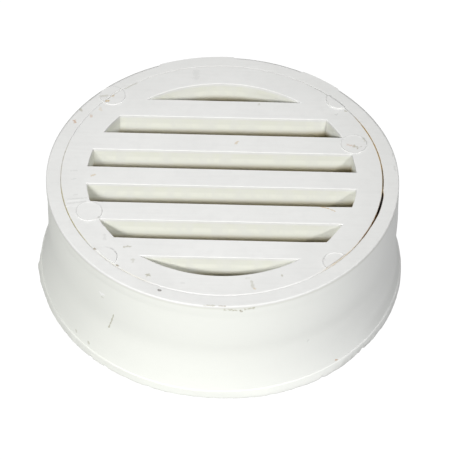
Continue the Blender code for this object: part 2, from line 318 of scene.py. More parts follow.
# ---------------------------------------------------------------- materials
class Graph:
    """Adds nodes to a material's tree. A value in sockets is a number, a tuple or an output."""

    def __init__(self, name):
        self.material = bpy.data.materials.new(name)
        self.material.use_nodes = True
        self.tree = self.material.node_tree
        self.shader = self.tree.nodes["Principled BSDF"]
        coordinates = self.add("ShaderNodeTexCoord")
        self.place = coordinates.outputs["Object"]
        parts = self.add("ShaderNodeSeparateXYZ", Vector=self.place)
        self.x, self.y, self.z = parts.outputs[0], parts.outputs[1], parts.outputs[2]
        self.ragged = None

    def put(self, socket, value):
        if isinstance(value, bpy.types.NodeSocket):
            self.tree.links.new(value, socket)
        else:
            socket.default_value = value

    def add(self, kind, **sockets):
        node = self.tree.nodes.new(kind)
        for key, value in sockets.items():
            self.put(node.inputs[key.replace("_", " ")], value)
        return node

    def math(self, operation, first, second=0.0):
        node = self.tree.nodes.new("ShaderNodeMath")
        node.operation = operation
        self.put(node.inputs[0], first)
        self.put(node.inputs[1], second)
        return node.outputs[0]

    def ramp(self, value, low, high, to_low=0.0, to_high=1.0):
        """Maps low..high to to_low..to_high along a smooth step, and holds it outside."""
        node = self.tree.nodes.new("ShaderNodeMapRange")
        node.interpolation_type = "SMOOTHSTEP"
        for index, item in enumerate((value, low, high, to_low, to_high)):
            self.put(node.inputs[index], item)
        return node.outputs[0]

    def noise(self, scale, detail=2.0, roughness=0.5, stretch=(1.0, 1.0, 1.0)):
        """Noise whose features are about 1/scale metres across, stretched along an axis."""
        mapping = self.add("ShaderNodeMapping", Vector=self.place, Scale=stretch)
        node = self.add(
            "ShaderNodeTexNoise", Vector=mapping.outputs[0], Scale=scale, Detail=detail,
            Roughness=roughness)
        return node.outputs[0]

    def mix(self, factor, first, second):
        node = self.tree.nodes.new("ShaderNodeMix")
        node.data_type = "RGBA"
        self.put(node.inputs[0], factor)
        self.put(node.inputs[6], first)
        self.put(node.inputs[7], second)
        return node.outputs[2]

    def vector(self, operation, first, second, output="Vector"):
        node = self.tree.nodes.new("ShaderNodeVectorMath")
        node.operation = operation
        self.put(node.inputs[0], first)
        self.put(node.inputs["Scale" if operation == "SCALE" else 1], second)
        return node.outputs[output]

    def smear(self, start, end, radius):
        """1 inside an uneven streak from start to end, or spot if they are one point, 0 outside."""
        if self.ragged is None:
            self.ragged = self.ramp(self.noise(1300.0, 3.0, 0.6), 0.25, 0.75, -0.7, 0.7)
        offset = self.vector("SUBTRACT", self.place, start)
        run = end - start
        if run.length > 0:
            share = self.math(
                "DIVIDE", self.vector("DOT_PRODUCT", offset, run, "Value"), run.length_squared)
            share.node.use_clamp = True
            offset = self.vector("SUBTRACT", offset, self.vector("SCALE", run, share))
        distance = self.vector("LENGTH", offset, (0.0, 0.0, 0.0), "Value")
        uneven = self.math("ADD", distance, self.math("MULTIPLY", self.ragged, radius))
        return self.ramp(uneven, 0.35 * radius, 1.25 * radius, 1.0, 0.0)

    def radius(self):
        """The distance from the Z axis."""
        squares = [self.math("MULTIPLY", axis, axis) for axis in (self.x, self.y)]
        return self.math("SQRT", self.math("ADD", *squares))

    def towards(self, angle, inner, outer):
        """1 within inner degrees of an angle about Z, fading to 0 at outer degrees from it."""
        direction = (cos(radians(angle)), sin(radians(angle)), 0.0)
        along = self.vector("DOT_PRODUCT", self.place, direction, "Value")
        cosine = self.math("DIVIDE", along, self.radius())
        return self.ramp(cosine, cos(radians(outer)), cos(radians(inner)))

    def both(self, *masks):
        """1 where every mask is 1."""
        product = masks[0]
        for mask in masks[1:]:
            product = self.math("MULTIPLY", product, mask)
        return product

    def bump(self, height, distance, normal=None):
        node = self.add("ShaderNodeBump", Height=height, Distance=distance)
        if normal is not None:
            self.put(node.inputs["Normal"], normal)
        return node.outputs[0]


def rgb(red, green, blue):
    return (red, green, blue, 1.0)


WHITE = rgb(0.800, 0.800, 0.785)
SKIRT_WHITE = rgb(0.790, 0.800, 0.785)
SKIRT_YELLOW_WHITE = rgb(0.795, 0.812, 0.752)
CREAM = rgb(0.780, 0.790, 0.690)
# The next colour is painted light: a lighter band at mid-depth of the slot walls.
PAINTED_LIGHT_CREAM = rgb(0.860, 0.865, 0.790)
# The next colour is painted shade for deep in the slots; its brown tint is partly dirt.
SHADED = rgb(0.350, 0.280, 0.130)
# The next colour is painted black shade for the open seam.
BLACK = rgb(0.012, 0.009, 0.007)
SOOT = rgb(0.100, 0.085, 0.070)
BROWN = rgb(0.220, 0.160, 0.075)
UMBER = rgb(0.240, 0.135, 0.050)
CHALK = rgb(0.900, 0.900, 0.880)
RUST = rgb(0.480, 0.230, 0.070)
OCHRE = rgb(0.560, 0.400, 0.180)
GOLD = rgb(0.500, 0.330, 0.100)
HONEY = rgb(0.520, 0.470, 0.270)
OLIVE = rgb(0.300, 0.280, 0.160)
GREY = rgb(0.420, 0.425, 0.410)
# The next colour is painted shade for the foot.
FOOT_SHADE_GREY = rgb(0.360, 0.360, 0.340)
DULL_STEEL = rgb(0.420, 0.420, 0.410)
BRIGHT_STEEL = rgb(0.580, 0.570, 0.540)

# Noise scales of the moulded plastic. Their features are about 1/scale metres across.
CLOUDS = 60.0
MOTTLING = 330.0
DRAG_LINES = 1100.0
GRAIN = 2600.0

FACE = HEIGHT / MM

# Marks of wear and dirt on the upper face, in millimetres:
# from x, y to x, y, radius, strength, colour.
GRILLE_STAINS = [
    (11.2, 32.8, 11.2, 32.8, 0.45, 0.35, OLIVE),
    (4.0, 15.0, 4.6, 15.8, 0.45, 0.45, OCHRE),
    (-40.4, -0.4, -39.4, -0.2, 0.45, 0.45, OCHRE),
    (-41.7, 26.2, -41.5, 25.6, 0.45, 0.35, RUST),
    (-34.9, 35.0, -35.2, 35.0, 0.50, 0.90, GOLD),
    (-36.9, 32.6, -36.5, 32.7, 0.50, 0.75, GOLD),
    (-38.9, 29.4, -38.6, 28.6, 0.60, 0.20, OCHRE),
    (39.0, 15.4, 40.9, 15.0, 0.45, 0.35, RUST),
    (40.9, 15.0, 42.2, 14.1, 0.50, 0.40, OLIVE),
    (42.2, 14.1, 43.2, 14.9, 0.45, 0.30, BROWN),
    (44.1, 18.3, 44.8, 17.0, 0.45, 0.35, OLIVE),
    (40.2, -6.4, 41.4, -6.8, 0.35, 0.25, GREY),
    (-9.0, 47.0, -9.0, 44.3, 1.20, 0.16, GREY),
    (30.4, -11.7, 32.9, -12.4, 0.22, 0.75, OCHRE),
    (32.9, -12.4, 35.1, -13.6, 0.22, 0.70, OCHRE),
    (-29.2, -30.7, -27.4, -30.5, 0.40, 0.45, OLIVE),
    (-26.6, -36.2, -26.2, -36.6, 0.70, 0.25, OLIVE),
    (-21.9, -42.4, -21.4, -42.3, 0.60, 0.55, OLIVE),
    (8.2, -42.7, 8.8, -42.6, 0.40, 0.14, OLIVE),
    (9.8, -44.0, 10.3, -46.4, 0.50, 0.32, OLIVE),
    (10.6, -47.0, 10.9, -47.1, 0.45, 0.50, OCHRE),
    (18.8, -41.2, 19.0, -41.4, 0.40, 0.45, OLIVE),
    (31.9, -33.0, 31.8, -34.6, 0.35, 0.20, GREY),
    (-35.3, -25.8, -35.3, -27.8, 0.50, 0.22, GREY),
    (-37.6, -18.3, -37.2, -19.0, 0.35, 0.55, GREY),
    (-47.2, -11.0, -41.6, -10.2, 0.28, 0.26, GREY),
    (-47.4, -11.9, -43.5, -11.2, 0.22, 0.60, CHALK),
    (-47.2, -12.8, -41.8, -11.8, 0.28, 0.28, GREY),
    (-47.8, -14.2, -46.6, -13.9, 0.25, 0.70, CHALK),
    (-46.8, 1.4, -45.0, 1.6, 0.28, 0.22, GREY),
    (-46.6, -2.4, -45.2, -2.0, 0.28, 0.20, GREY),
    (38.4, 30.8, 38.8, 30.6, 0.30, 0.50, OLIVE),
    (-45.6, -9.2, -44.4, -8.8, 0.28, 0.20, GREY),
    (-31.2, 38.8, -27.7, 41.2, 0.35, 0.25, OLIVE),
    (35.4, 28.9, 35.9, 29.3, 0.35, 0.35, GREY),
    (-10.8, -45.4, -11.6, -45.3, 0.40, 0.18, GREY),
    (31.2, -43.2, 31.8, -43.3, 0.35, 0.25, OLIVE),
    (-37.9, -32.0, -38.3, -31.6, 0.30, 0.70, BROWN),
    (-31.2, -38.5, -30.7, -38.7, 0.28, 0.75, BROWN),
]
RIM_STAINS = [
    (-46.8, 23.6, -46.6, 23.0, 0.50, 0.55, RUST),
    (-45.3, 28.8, -44.8, 28.2, 0.45, 0.45, OLIVE),
    (-38.9, 34.6, -37.0, 35.2, 0.50, 0.30, OLIVE),
    (-42.4, 33.4, -41.8, 33.8, 0.40, 0.25, OLIVE),
    (-18.4, -48.4, -17.7, -48.5, 0.40, 0.75, SOOT),
    (-7.9, -54.9, -3.6, -54.4, 0.30, 0.22, OLIVE),
    (-3.6, -54.2, -1.2, -54.4, 0.30, 0.40, OLIVE),
    (0.2, -54.4, 1.9, -54.5, 0.28, 0.45, BROWN),
    (-16.0, -53.0, -13.0, -53.8, 0.25, 0.30, OLIVE),
    (53.2, 12.2, 53.1, 11.0, 0.35, 0.35, GREY),
    (53.6, 6.4, 53.8, 4.6, 0.35, 0.30, GREY),
    (50.4, 20.3, 50.8, 19.8, 0.35, 0.30, GREY),
    (-53.0, -15.0, -52.6, -18.6, 0.25, 0.35, OLIVE),
    (-50.0, 22.0, -48.4, 24.7, 0.30, 0.25, OLIVE),
]
# The same on the skirt: from angle, z to angle, z, radius, strength, colour.
SKIRT_STAINS = [
    (-126.6, 22.1, -128.6, 15.2, 0.22, 0.60, OLIVE),
    (-132.4, 28.3, -131.8, 28.0, 0.50, 1.00, CHALK),
    (-131.3, 28.4, -130.8, 28.3, 0.40, 1.00, CHALK),
    (-131.6, 26.8, -131.0, 26.8, 0.30, 0.25, OLIVE),
    (-88.4, 37.2, -85.6, 36.9, 0.50, 0.40, OLIVE),
    (-85.6, 36.9, -82.8, 36.7, 0.50, 0.55, OLIVE),
    (-83.6, 36.4, -83.0, 36.3, 0.50, 0.50, BROWN),
    (-81.8, 37.0, -79.0, 37.2, 0.50, 0.50, OLIVE),
    (-50.0, 3.5, -49.6, 3.3, 0.40, 0.75, RUST),
    (-56.6, 0.4, -56.0, 0.6, 0.40, 0.85, SOOT),
    (-60.5, 16.0, -60.2, 16.4, 0.35, 0.25, GREY),
    (-142.4, 4.9, -141.8, 4.5, 0.35, 0.35, OLIVE),
    (-136.0, 4.6, -135.5, 4.1, 0.40, 0.40, OLIVE),
    (-127.6, 1.8, -127.0, 1.5, 0.40, 0.45, OLIVE),
    (62.0, 12.0, 66.0, 14.0, 0.25, 0.25, OLIVE),
    (118.0, 21.0, 119.0, 25.0, 0.22, 0.30, GREY),
    (151.0, 7.0, 156.0, 9.0, 0.30, 0.20, OLIVE),
]
# Dirt in the seam: a direction, inner and outer half width, least and most strength, colour.
SEAM_DIRT = [
    (191, 23, 31, 0.05, 0.28, HONEY),
    (201, 10, 16, 0.50, 0.95, HONEY),
    (12, 16, 24, 0.45, 0.90, OCHRE),
    (-36, 10, 18, 0.15, 0.45, OCHRE),
    (234, 7, 14, 0.10, 0.25, HONEY),
    (1, 3, 6, 0.60, 1.00, BROWN),
]
# The black painted there is painted shade.
BLACK_GAP = (-10, 4, 8)     # the part of the open seam that is black, as a direction
SEAM_FRINGE = (-21, 7, 13)  # and the part beside it with a brown edge


def moulded_plastic(name):
    """White PVC: faint mottling and drag lines, a fine mould texture and an uneven satin gloss."""
    graph = Graph(name)
    cloud = graph.noise(CLOUDS, 3.0)
    mottle = graph.noise(MOTTLING, 3.0, 0.6)
    streaks = graph.noise(DRAG_LINES, 2.0, stretch=(0.05, 1.0, 1.0))
    duller = rgb(*(0.965 * value for value in WHITE[:3]))
    darker = rgb(*(0.940 * value for value in WHITE[:3]))
    color = graph.mix(graph.ramp(cloud, 0.35, 0.7, 0.0, 0.6), WHITE, duller)
    color = graph.mix(graph.ramp(mottle, 0.42, 0.75, 0.0, 0.55), color, darker)
    color = graph.mix(graph.ramp(streaks, 0.45, 0.8, 0.0, 0.45), color, darker)
    grain = graph.noise(GRAIN, 2.0)
    normal = graph.bump(grain, 0.012 * MM)
    normal = graph.bump(streaks, 0.020 * MM, normal)
    graph.put(graph.shader.inputs["Normal"], normal)
    graph.put(graph.shader.inputs["Roughness"], graph.ramp(cloud, 0.3, 0.7, 0.40, 0.50))
    return graph, color


def finish_color(graph, color):
    graph.put(graph.shader.inputs["Base Color"], color)
    return graph.material


def add_stains(graph, color, stains):
    """Each stain is a start, an end, a radius in millimetres, a strength and a colour."""
    for start, end, radius, strength, tint in stains:
        mask = graph.smear(Vector(start) * MM, Vector(end) * MM, radius * MM)
        color = graph.mix(graph.math("MULTIPLY", mask, strength), color, tint)
    return color


def face_stains(rows):
    return [((a, b, FACE), (c, d, FACE), *look) for a, b, c, d, *look in rows]


def skirt_point(angle, z):
    """A point of the outer wall, in millimetres."""
    x, y, trim = (value / MM for value in wall_fault(z * MM))
    r = flare(z * MM, WAIST_R, FLARE_R, FOOT_H) / MM - trim
    return (r * cos(radians(angle)) + x, r * sin(radians(angle)) + y, z)


def skirt_stains(rows):
    return [(skirt_point(a, b), skirt_point(c, d), *look) for a, b, c, d, *look in rows]


def soil_and_shade_seam(graph, color, near_seam, in_gap):
    """Golden dirt packed in the seam at the sides, and painted black shade in the open gap at the
    right.
    """
    ragged = graph.noise(500.0, 3.0, 0.6)
    for angle, inner, outer, low, high, tint in SEAM_DIRT:
        strength = graph.ramp(ragged, 0.3, 0.6, low, high)
        dirt_and_shade = graph.both(near_seam, graph.towards(angle, inner, outer), strength)
        color = graph.mix(dirt_and_shade, color, tint)
    faint = graph.both(in_gap, graph.towards(90, 40, 60), graph.ramp(ragged, 0.35, 0.6, 0.1, 0.4))
    color = graph.mix(faint, color, OLIVE)
    fringe = graph.both(
        near_seam, graph.towards(*SEAM_FRINGE), graph.ramp(ragged, 0.3, 0.6, 0.6, 1.0))
    color = graph.mix(fringe, color, UMBER)
    # Painted black shade in the open gap.
    black = graph.both(in_gap, graph.towards(*BLACK_GAP), graph.towards(*GAPE_SIDES[1]))
    return graph.mix(black, color, BLACK)


def grey_face(graph, color):
    """Greys the upper face: darker towards its rim, and painted shade towards the right, where less
    light falls.
    """
    on_face = graph.ramp(graph.z, HEIGHT - 0.5 * MM, HEIGHT - 0.1 * MM)
    # Painted shade: the right of the face greyer, where less light falls.
    right = graph.ramp(graph.x, 0.0, 55.0 * MM, 0.0, 0.10)
    outer = graph.ramp(graph.radius(), 34.0 * MM, 53.0 * MM, 0.0, 0.10)
    return graph.mix(graph.both(on_face, graph.math("ADD", right, outer)), color, GREY)


def grille_material():
    """Plastic with cream tints in the slots, painted shade deeper in them that reaches higher at
    the back and right, dirt and painted black shade in the seam, and specks.
    """
    graph, color = moulded_plastic("grille_pvc")
    color = grey_face(graph, color)
    depth = graph.math("SUBTRACT", HEIGHT, graph.z)
    radius = graph.radius()
    in_slots = graph.ramp(radius, SLOT_FIELD_R + 0.4 * MM, SLOT_FIELD_R + 1.4 * MM, 1.0, 0.0)
    ragged = graph.noise(240.0, 3.0, 0.6, stretch=(1.0, 1.0, 0.35))
    cream = graph.both(
        in_slots, graph.ramp(depth, 0.3 * MM, 1.5 * MM), graph.ramp(ragged, 0.3, 0.7, 0.45, 0.8))
    color = graph.mix(cream, color, CREAM)
    # Painted light: a lighter band at mid-depth of the slot walls.
    painted_light_band = graph.both(
        in_slots, graph.ramp(depth, 2.6 * MM, 3.6 * MM),
        graph.ramp(depth, 4.4 * MM, 5.4 * MM, 1.0, 0.0), graph.ramp(ragged, 0.35, 0.6, 0.15, 0.7))
    color = graph.mix(painted_light_band, color, PAINTED_LIGHT_CREAM)
    # Painted shade deeper in the slots, standing in for the near bars' shadow on the walls; its
    # brown tint is partly dirt. It starts higher up the walls towards the back, the right and the
    # slots' right ends.
    right = graph.towards(0, 60, 90)
    right_end = graph.both(right, graph.ramp(radius, 36.0 * MM, 41.5 * MM, 0.0, 0.6 * MM))
    across = graph.vector("DOT_PRODUCT", graph.place, (0.010, 0.011, 0.0), "Value")
    reach = graph.math("ADD", graph.math("ADD", depth, across), right_end)
    # Grey painted shade on the slots' right end walls, where less light falls.
    end_wall = graph.both(
        in_slots, right, graph.ramp(radius, SLOT_FIELD_R - 0.4 * MM, SLOT_FIELD_R - 0.1 * MM),
        graph.ramp(depth, 0.4 * MM, 4.0 * MM, 0.0, 0.28))
    color = graph.mix(end_wall, color, GREY)
    shaded = graph.both(in_slots, graph.ramp(reach, 4.9 * MM, 8.7 * MM, 0.0, 0.9))
    color = graph.mix(shaded, color, SHADED)
    soil_and_shade_depth = graph.ramp(depth, 0.9 * MM, 1.7 * MM, 1.0, 0.0)
    near_seam = graph.both(soil_and_shade_depth, graph.ramp(radius, SEAM_R - 0.30 * MM, SEAM_R - 0.15 * MM))
    in_gap = graph.both(
        soil_and_shade_depth, graph.ramp(radius, SEAM_R - 0.20 * MM, SEAM_R - 0.10 * MM),
        graph.ramp(depth, 0.02 * MM, 0.18 * MM))
    color = soil_and_shade_seam(graph, color, near_seam, in_gap)
    return finish_color(graph, add_stains(graph, color, face_stains(GRILLE_STAINS)))


def housing_material():
    """Plastic with a yellower skirt at the left, dirt and painted black shade in the seam, and
    painted grey shade on the foot.
    """
    graph, color = moulded_plastic("housing_pvc")
    color = grey_face(graph, color)
    below_rim = graph.ramp(graph.z, HEIGHT - 1.2 * MM, HEIGHT - 0.4 * MM, 0.8, 0.0)
    skirt = graph.mix(graph.towards(-145, 30, 130), SKIRT_WHITE, SKIRT_YELLOW_WHITE)
    color = graph.mix(below_rim, color, skirt)
    under_edge = graph.both(
        graph.ramp(graph.z, HEIGHT - 1.7 * MM, HEIGHT - 1.0 * MM),
        graph.ramp(graph.z, HEIGHT - 0.7 * MM, HEIGHT - 0.4 * MM, 0.16, 0.0))
    color = graph.mix(under_edge, color, OLIVE)
    radius = graph.radius()
    open_part = graph.both(*(graph.towards(*side) for side in GAPE_SIDES))
    gape = graph.math("MULTIPLY", open_part, SEAT_GAPE)
    from_seam = graph.math("SUBTRACT", graph.math("SUBTRACT", radius, gape), SEAT_R)
    near_seam = graph.both(
        graph.ramp(from_seam, 0.05 * MM, 0.16 * MM, 1.0, 0.0),
        graph.ramp(graph.z, LEDGE_BOTTOM_Z, LEDGE_BOTTOM_Z + 0.2 * MM))
    in_gap = graph.both(
        near_seam, graph.ramp(graph.z, HEIGHT - 0.18 * MM, HEIGHT - 0.02 * MM, 1.0, 0.0))
    color = soil_and_shade_seam(graph, color, near_seam, in_gap)
    dull = graph.both(
        graph.towards(-8, 16, 34), graph.ramp(graph.z, 2.4 * MM, 3.6 * MM),
        graph.ramp(graph.z, 5.0 * MM, 9.0 * MM, 0.22, 0.0))
    color = graph.mix(dull, color, GREY)
    # Painted shade on the foot, mottled, strongest at the right and weaker at the left.
    ragged = graph.noise(420.0, 3.0, 0.5)
    foot = graph.ramp(graph.z, 0.2 * MM, 3.0 * MM, 1.0, 0.0)
    left = graph.math("MULTIPLY", graph.towards(185, 30, 50), 0.4)
    side = graph.math("MAXIMUM", graph.towards(-12, 25, 50), left)
    dirt_and_shade = graph.both(
        foot, graph.ramp(side, 0.0, 1.0, 0.02, 0.50), graph.ramp(ragged, 0.35, 0.65, 0.3, 1.0))
    color = graph.mix(dirt_and_shade, color, FOOT_SHADE_GREY)
    stains = face_stains(RIM_STAINS) + skirt_stains(SKIRT_STAINS)
    return finish_color(graph, add_stains(graph, color, stains))


def ring_material():
    graph, color = moulded_plastic("ring_pvc")
    return finish_color(graph, color)


def wire_material():
    graph = Graph("screen_wire")
    cloud = graph.noise(300.0, 3.0)
    graph.shader.inputs["Metallic"].default_value = 1.0
    color = graph.mix(cloud, DULL_STEEL, BRIGHT_STEEL)
    graph.put(graph.shader.inputs["Roughness"], graph.ramp(cloud, 0.3, 0.7, 0.3, 0.45))
    return finish_color(graph, color)


# ---------------------------------------------------------------- housing
def flare(z, straight_r, wide_r, wide_z):
    """Radius of a wall that is straight above FLARE_TOP_Z and widens to wide_r at wide_z."""
    run = min(1.0, max(0.0, (FLARE_TOP_Z - z) / (FLARE_TOP_Z - wide_z)))
    return straight_r + (wide_r - straight_r) * run ** FLARE_POWER


def housing_profile():
    """Round the section: out over the rim, down the skirt, under the foot and up the bore.

    The extra points on its straight parts are there for place_housing to move.
    """
    points = [(r, HEIGHT) for r in RIM_RINGS]
    points += arc(RIM_R - RIM_ROUND, HEIGHT - RIM_ROUND, RIM_ROUND, 90, 0, 6)
    points += [(RIM_R, HEIGHT - RIM_BAND_H), (RIM_R - RIM_BAND_STEP, HEIGHT - RIM_BAND_FOOT)]
    for i in range(1, BAND_STEPS + 1):
        t = i / BAND_STEPS
        z = HEIGHT - RIM_BAND_FOOT + (WAIST_TOP_Z - HEIGHT + RIM_BAND_FOOT) * t
        r = RIM_R - RIM_BAND_STEP + (WAIST_R - RIM_R + RIM_BAND_STEP) * ease(t, 0, 1)
        points.append((r, z))
    points += [(WAIST_R, z) for z in WAIST_RINGS]
    for i in range(FLARE_STEPS + 1):
        z = FLARE_TOP_Z + (FLARE_END_Z - FLARE_TOP_Z) * i / FLARE_STEPS
        points.append((flare(z, WAIST_R, FLARE_R, FOOT_H), z))
    bead = FOOT_R - FLARE_R
    points += arc(FLARE_R - FOOT_SLOPE, FOOT_H - bead + 0.05 * MM, bead, 60, 10, 5)
    points += [(FOOT_R - FOOT_SLOPE * t, (0.6 + 1.8 * t) * MM) for t in (0.75, 0.5, 0.25, 0.0)]
    points += arc(FOOT_R - FOOT_EDGE, FOOT_EDGE, FOOT_EDGE, 0, -90, 2)
    for i in range(SOCKET_STEPS + 1):
        z = FLARE_TOP_Z * i / SOCKET_STEPS
        points.append((flare(z, SOCKET_R, SOCKET_MOUTH_R, 0.0), z))
    points += [(SOCKET_R, SOCKET_RING_Z), (SOCKET_R, LEDGE_BOTTOM_Z), (LEDGE_R, LEDGE_BOTTOM_Z)]
    points += [(LEDGE_R, LEDGE_TOP_Z), (SEAT_R, LEDGE_TOP_Z)]
    points += arc(SEAT_R + SEAT_ROUND, HEIGHT - SEAT_ROUND, SEAT_ROUND, 180, 90, 3)
    return points


def foot_flash(angle, z):
    """How far the thin, uneven flash at the lower edge stands out there."""
    around = Vector((cos(angle), sin(angle), 0.0))
    coarse = noise.noise(around * 5.0)
    fine = noise.noise(around * 60.0)
    lip = facing(angle, *FOOT_LIP)
    low = 1.0 - ease(z, FLASH_FULL_Z, FOOT_H)
    chips = lumps(angle, FOOT_CHIPS)
    width = FLASH_COARSE * coarse + FLASH_FINE * max(0.0, fine) + FLASH_LIP * lip + chips
    return low * width * MM


def lumps(angle, places):
    """Height at an angle of a row of short bumps, each an angle, a half width and a height."""
    height = 0.0
    for place, width, peak in places:
        away = (angle - radians(place) + pi) % (2 * pi) - pi
        height += peak * (1.0 - ease(abs(away), 0.3 * radians(width), radians(width)))
    return height


def foot_nick(angle):
    """How far the ragged lower edge is lifted off the floor at an angle."""
    around = Vector((cos(angle), sin(angle), 2.0))
    lift = max(0.0, noise.noise(around * 34.0) - 0.10)
    return NICK_H * (lift + lumps(angle, FOOT_NICKS))


def place_housing(r, z, angle):
    """Adds the small faults of the moulding to a point of the turned housing."""
    outside = r > flare(z, SOCKET_R, SOCKET_MOUTH_R, 0.0) + OUTER_HALF
    if outside and z < FLASH_TOP_Z:
        r += foot_flash(angle, z)
        if z < NICK_TOP_Z:
            z += foot_nick(angle)
    wave = noise.noise(Vector((cos(angle) * 2.0, sin(angle) * 2.0, z * 60.0)))
    if outside:
        r += WALL_WAVE * wave
    if z > LEDGE_TOP_Z - NEARLY and r < SEAT_R + SEAT_BAND:
        r += SEAT_GAPE * prod(facing(angle, *side) for side in GAPE_SIDES) + seam_bow(angle)
    x, y, trim = wall_fault(z)
    if r > RIM_R - RIM_ROUND - NEARLY and z > HEIGHT - RIM_ROUND - NEARLY:
        share = 1.0 + (BACK_ROUND - 1.0) * ease(sin(angle), 0.0, 0.8)
        r = RIM_R - (RIM_R - r) * share
        z = HEIGHT - (HEIGHT - z) * share
    if not outside:
        return (r * cos(angle), r * sin(angle), z)
    r -= trim * ease(r, TRIM_FROM_R, TRIM_FULL_R)
    return (r * cos(angle) + x, r * sin(angle) + y, z)


def facing(angle, center, inner, outer):
    """1 within inner degrees of the direction center, falling to 0 at outer degrees."""
    return ease(cos(angle - radians(center)), cos(radians(outer)), cos(radians(inner)))


def seam_bow(angle):
    """How far the seam stands out there, at the plate and at the rim alike."""
    return SEAM_BOW * ease(-sin(angle), 0.3, 0.9)


def wall_fault(z):
    """The row of WALL_FAULTS for a height between its own, in metres: (x, y, trim)."""
    for (low, here), (high, there) in zip(WALL_FAULTS, WALL_FAULTS[1:]):
        if z <= high * MM:
            share = ease(z, low * MM, high * MM)
            return tuple((a + (b - a) * share) * MM for a, b in zip(here, there))
    return tuple(value * MM for value in WALL_FAULTS[-1][1])


def add_ribs(bm):
    """Crush ribs inside the socket, each with a sloping lead-in at its lower end."""
    for i in range(RIB_COUNT):
        angle = 2 * pi * (i + 0.5) / RIB_COUNT
        for vert in bmesh.ops.create_cube(bm, size=1.0)["verts"]:
            inner = vert.co.x < 0
            low = vert.co.z < 0
            r = SOCKET_R - RIB_H if inner else SOCKET_R + OVERSHOOT
            y = vert.co.y * RIB_W
            z = RIB_BOTTOM_Z if low else LEDGE_BOTTOM_Z + OVERSHOOT
            if inner and low:
                z += RIB_LEAD_IN
            vert.co = (r * cos(angle) - y * sin(angle), r * sin(angle) + y * cos(angle), z)


def add_round_bars(bm, radius, bottom_z, top_z):
    """An upright bar at each lug's place on the ledge's inner edge."""
    angles = [2 * pi * i / BAR_STEPS for i in range(BAR_STEPS)]
    for x, y in corner_places(LEDGE_R):
        outline = [(x + radius * cos(angle), y + radius * sin(angle)) for angle in angles]
        add_prism(bm, outline, bottom_z, top_z)


def make_housing():
    bm = bmesh.new()
    lathe(bm, housing_profile(), TURN_STEPS, place_housing)
    housing = object_from_bmesh("housing_moulding", bm, housing_material())
    notches = bmesh.new()
    add_round_bars(notches, NOTCH_R, LEDGE_BOTTOM_Z - OVERSHOOT, LEDGE_TOP_Z + OVERSHOOT)
    cut_or_join(housing, helper(notches), "DIFFERENCE")
    ribs = bmesh.new()
    add_ribs(ribs)
    cut_or_join(housing, helper(ribs), "UNION")
    marks = bmesh.new()
    center, height, middle, gap = RIM_MARK
    add_mark(marks, center, height, middle, outside_r=SEAT_R + gap)
    cut_or_join(housing, helper(marks, turn_out=False), "UNION")
    smooth(housing)
    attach(housing, "housing")
    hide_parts("housing")


# ---------------------------------------------------------------- grille
def grille_profile():
    """Half the section: out over the plate's edge, down the spigot and in under the bars."""
    points = arc(SEAM_R - EDGE_ROUND, HEIGHT - EDGE_ROUND, EDGE_ROUND, 90, 0, 6)
    points += [(SEAM_R, PLATE_BOTTOM_Z + PLATE_STEP), (PLATE_R, PLATE_BOTTOM_Z)]
    points += [(SPIGOT_R, PLATE_BOTTOM_Z)]
    corner = SPIGOT_CORNER
    points += arc(SPIGOT_R - corner, SPIGOT_BOTTOM_Z + corner, corner, 0, -90, 3)
    corner = SPIGOT_BORE_CORNER
    points += arc(SPIGOT_BORE_R + corner, SPIGOT_BOTTOM_Z + corner, corner, -90, -180, 3)
    points += [(SPIGOT_BORE_R, PLATE_BOTTOM_Z), (BAR_BLOCK_R, PLATE_BOTTOM_Z)]
    points += [(BAR_BLOCK_R, BAR_BOTTOM_Z)]
    return points


def place_grille(r, z, angle):
    """Rounds the plate's upper edge more at the front than at the back."""
    if z > HEIGHT - EDGE_ROUND - NEARLY and r > SEAM_R - EDGE_ROUND - NEARLY:
        share = EDGE_LEAST + (1.0 - EDGE_LEAST) * ease(-sin(angle), -0.3, 0.55)
        r = SEAM_R - (SEAM_R - r) * share
        z = HEIGHT - (HEIGHT - z) * share
    if r > SEAM_R - EDGE_ROUND - NEARLY:
        r += seam_bow(angle)
    return (r * cos(angle), r * sin(angle), z)


def slot_outlines():
    """Four full slots between the bars, and one shaped like a cap beyond each end bar."""
    edges = [-SLOT_FIELD_R]
    for center in bar_centers():
        edges += [center - BAR_W / 2, center + BAR_W / 2]
    edges.append(SLOT_FIELD_R)
    outlines = []
    for low, high in zip(edges[0::2], edges[1::2]):
        outline = strip_in_circle(low, high, SLOT_FIELD_R)
        if low > -SLOT_FIELD_R:
            worn = SLOT_WEAR - SLOT_TAPER * low
            outline = [
                (x, y - (worn + SLOT_SKEW * x) * (high - y) / (high - low)) for x, y in outline]
        outlines.append(outline)
    return outlines


def round_slot_edges(grille):
    """Rounds the edges where the slots meet the plate's upper face."""
    mesh = grille.data
    weights = mesh.attributes.new("bevel_weight_edge", "FLOAT", "EDGE")
    limit = SLOT_FIELD_R + SLOT_MARGIN
    for edge in mesh.edges:
        ends = [mesh.vertices[index].co for index in edge.vertices]
        on_face = all(abs(co.z - HEIGHT) < NEARLY for co in ends)
        if not on_face or any(hypot(co.x, co.y) > limit for co in ends):
            continue
        weights.data[edge.index].value = 1.0
    bm = bmesh.new()
    bm.from_mesh(mesh)
    layer = bm.edges.layers.float["bevel_weight_edge"]
    for edge in bm.edges:
        flat = len(edge.link_faces) == 2 and edge.calc_face_angle(0.0) < radians(40)
        if flat:
            edge[layer] = 0.0
    bm.to_mesh(mesh)
    bm.free()
    bevel = grille.modifiers.new("slot_edges", "BEVEL")
    bevel.limit_method = "WEIGHT"
    bevel.width = SLOT_ROUND
    bevel.segments = 3
    bevel.use_clamp_overlap = False
    apply_modifiers(grille)


